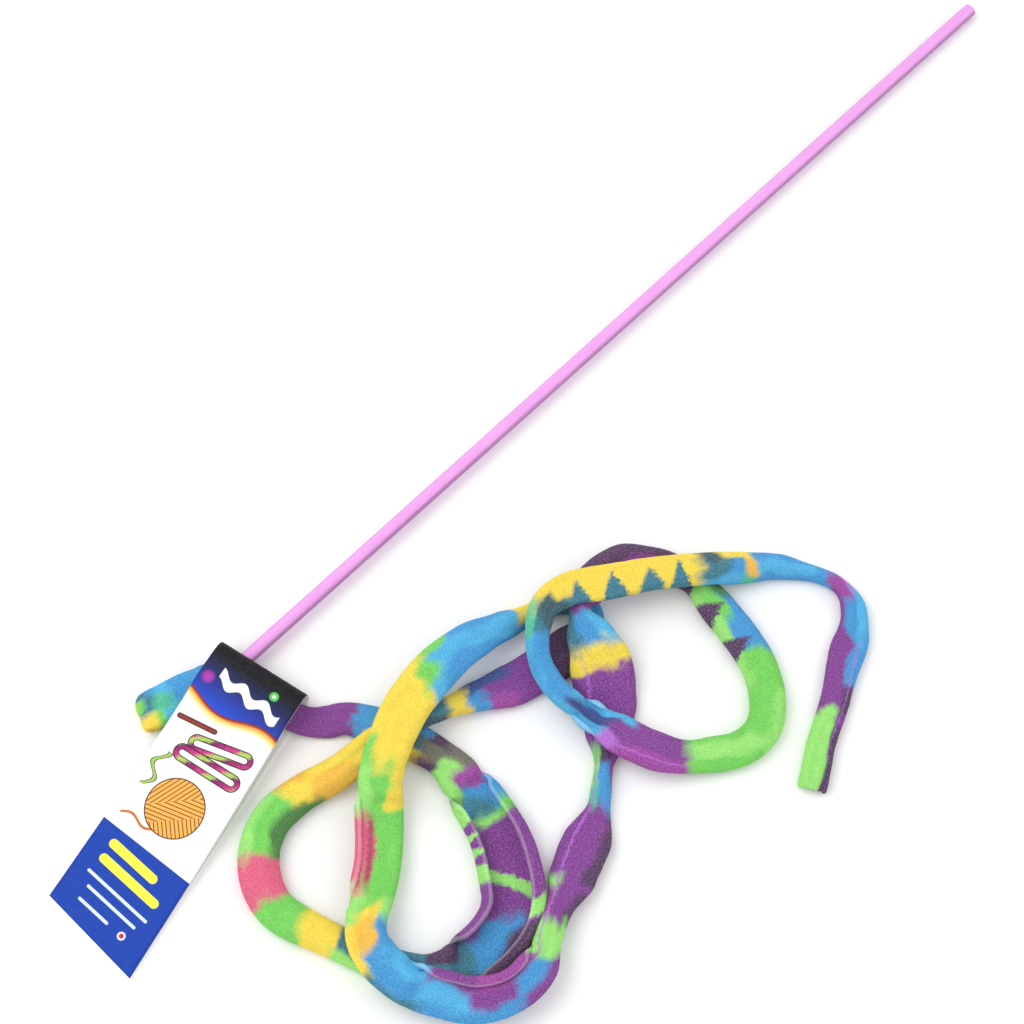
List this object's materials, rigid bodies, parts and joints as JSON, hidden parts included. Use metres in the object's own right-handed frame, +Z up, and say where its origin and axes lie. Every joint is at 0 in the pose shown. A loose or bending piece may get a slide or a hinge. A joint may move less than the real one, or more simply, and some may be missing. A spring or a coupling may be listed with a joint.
{
  "type": "ribbon wand toy",
  "caption": "Slim plastic rod with a long tie-dyed fleece ribbon bound across its end under a folded card hang tag, lying in loose loops",
  "frame": {"origin": "centre of the object's box as it lies, on the surface it rests on", "axes": "+X along the rod towards its free grip end, +Y away from the loose ribbon, +Z up"},
  "size_m": [0.5514, 0.2262, 0.0189],
  "materials": {
    "rod": "translucent pink tube, polished",
    "sleeve": "shrunk sleeve, satin",
    "fleece": "brushed fleece, tie-dyed in purple, blue, green, yellow and pink",
    "printed_card": "coated card, printed on its front",
    "plain_card": "coated card, plain",
    "tape": "double-sided tape"
  },
  "bodies": {
    "wand": {"wand_rod": "rod", "binding_sleeve": "sleeve", "ribbon_root": "fleece", "tag_header": "printed_card", "tag_back_leaf": "plain_card", "tape_pad": "tape"},
    "tag_leaf": {"tag_front_leaf": "printed_card"},
    "ribbon": {"ribbon_long": "fleece"},
    "short_tail": {"ribbon_short_tail": "fleece"}
  },
  "joints": [
    {"name": "leaf_lift", "type": "hinge", "parent": "wand", "child": "tag_leaf", "pos_m": [-0.18009, 0.07366, 0.0102], "axis": [-0.225, 0.9744, 0], "range_deg": [0, 75]},
    {"name": "ribbon_swing", "type": "hinge", "parent": "wand", "child": "ribbon", "pos_m": [-0.14335, 0.04318, 0.003], "axis": [0, 0, 1], "range_deg": [-3, 25]},
    {"name": "tail_lift", "type": "hinge", "parent": "wand", "child": "short_tail", "pos_m": [-0.17147, 0.09788, 0.01296], "axis": [0.9744, 0.225, 0], "range_deg": [0, 60]}
  ]
}
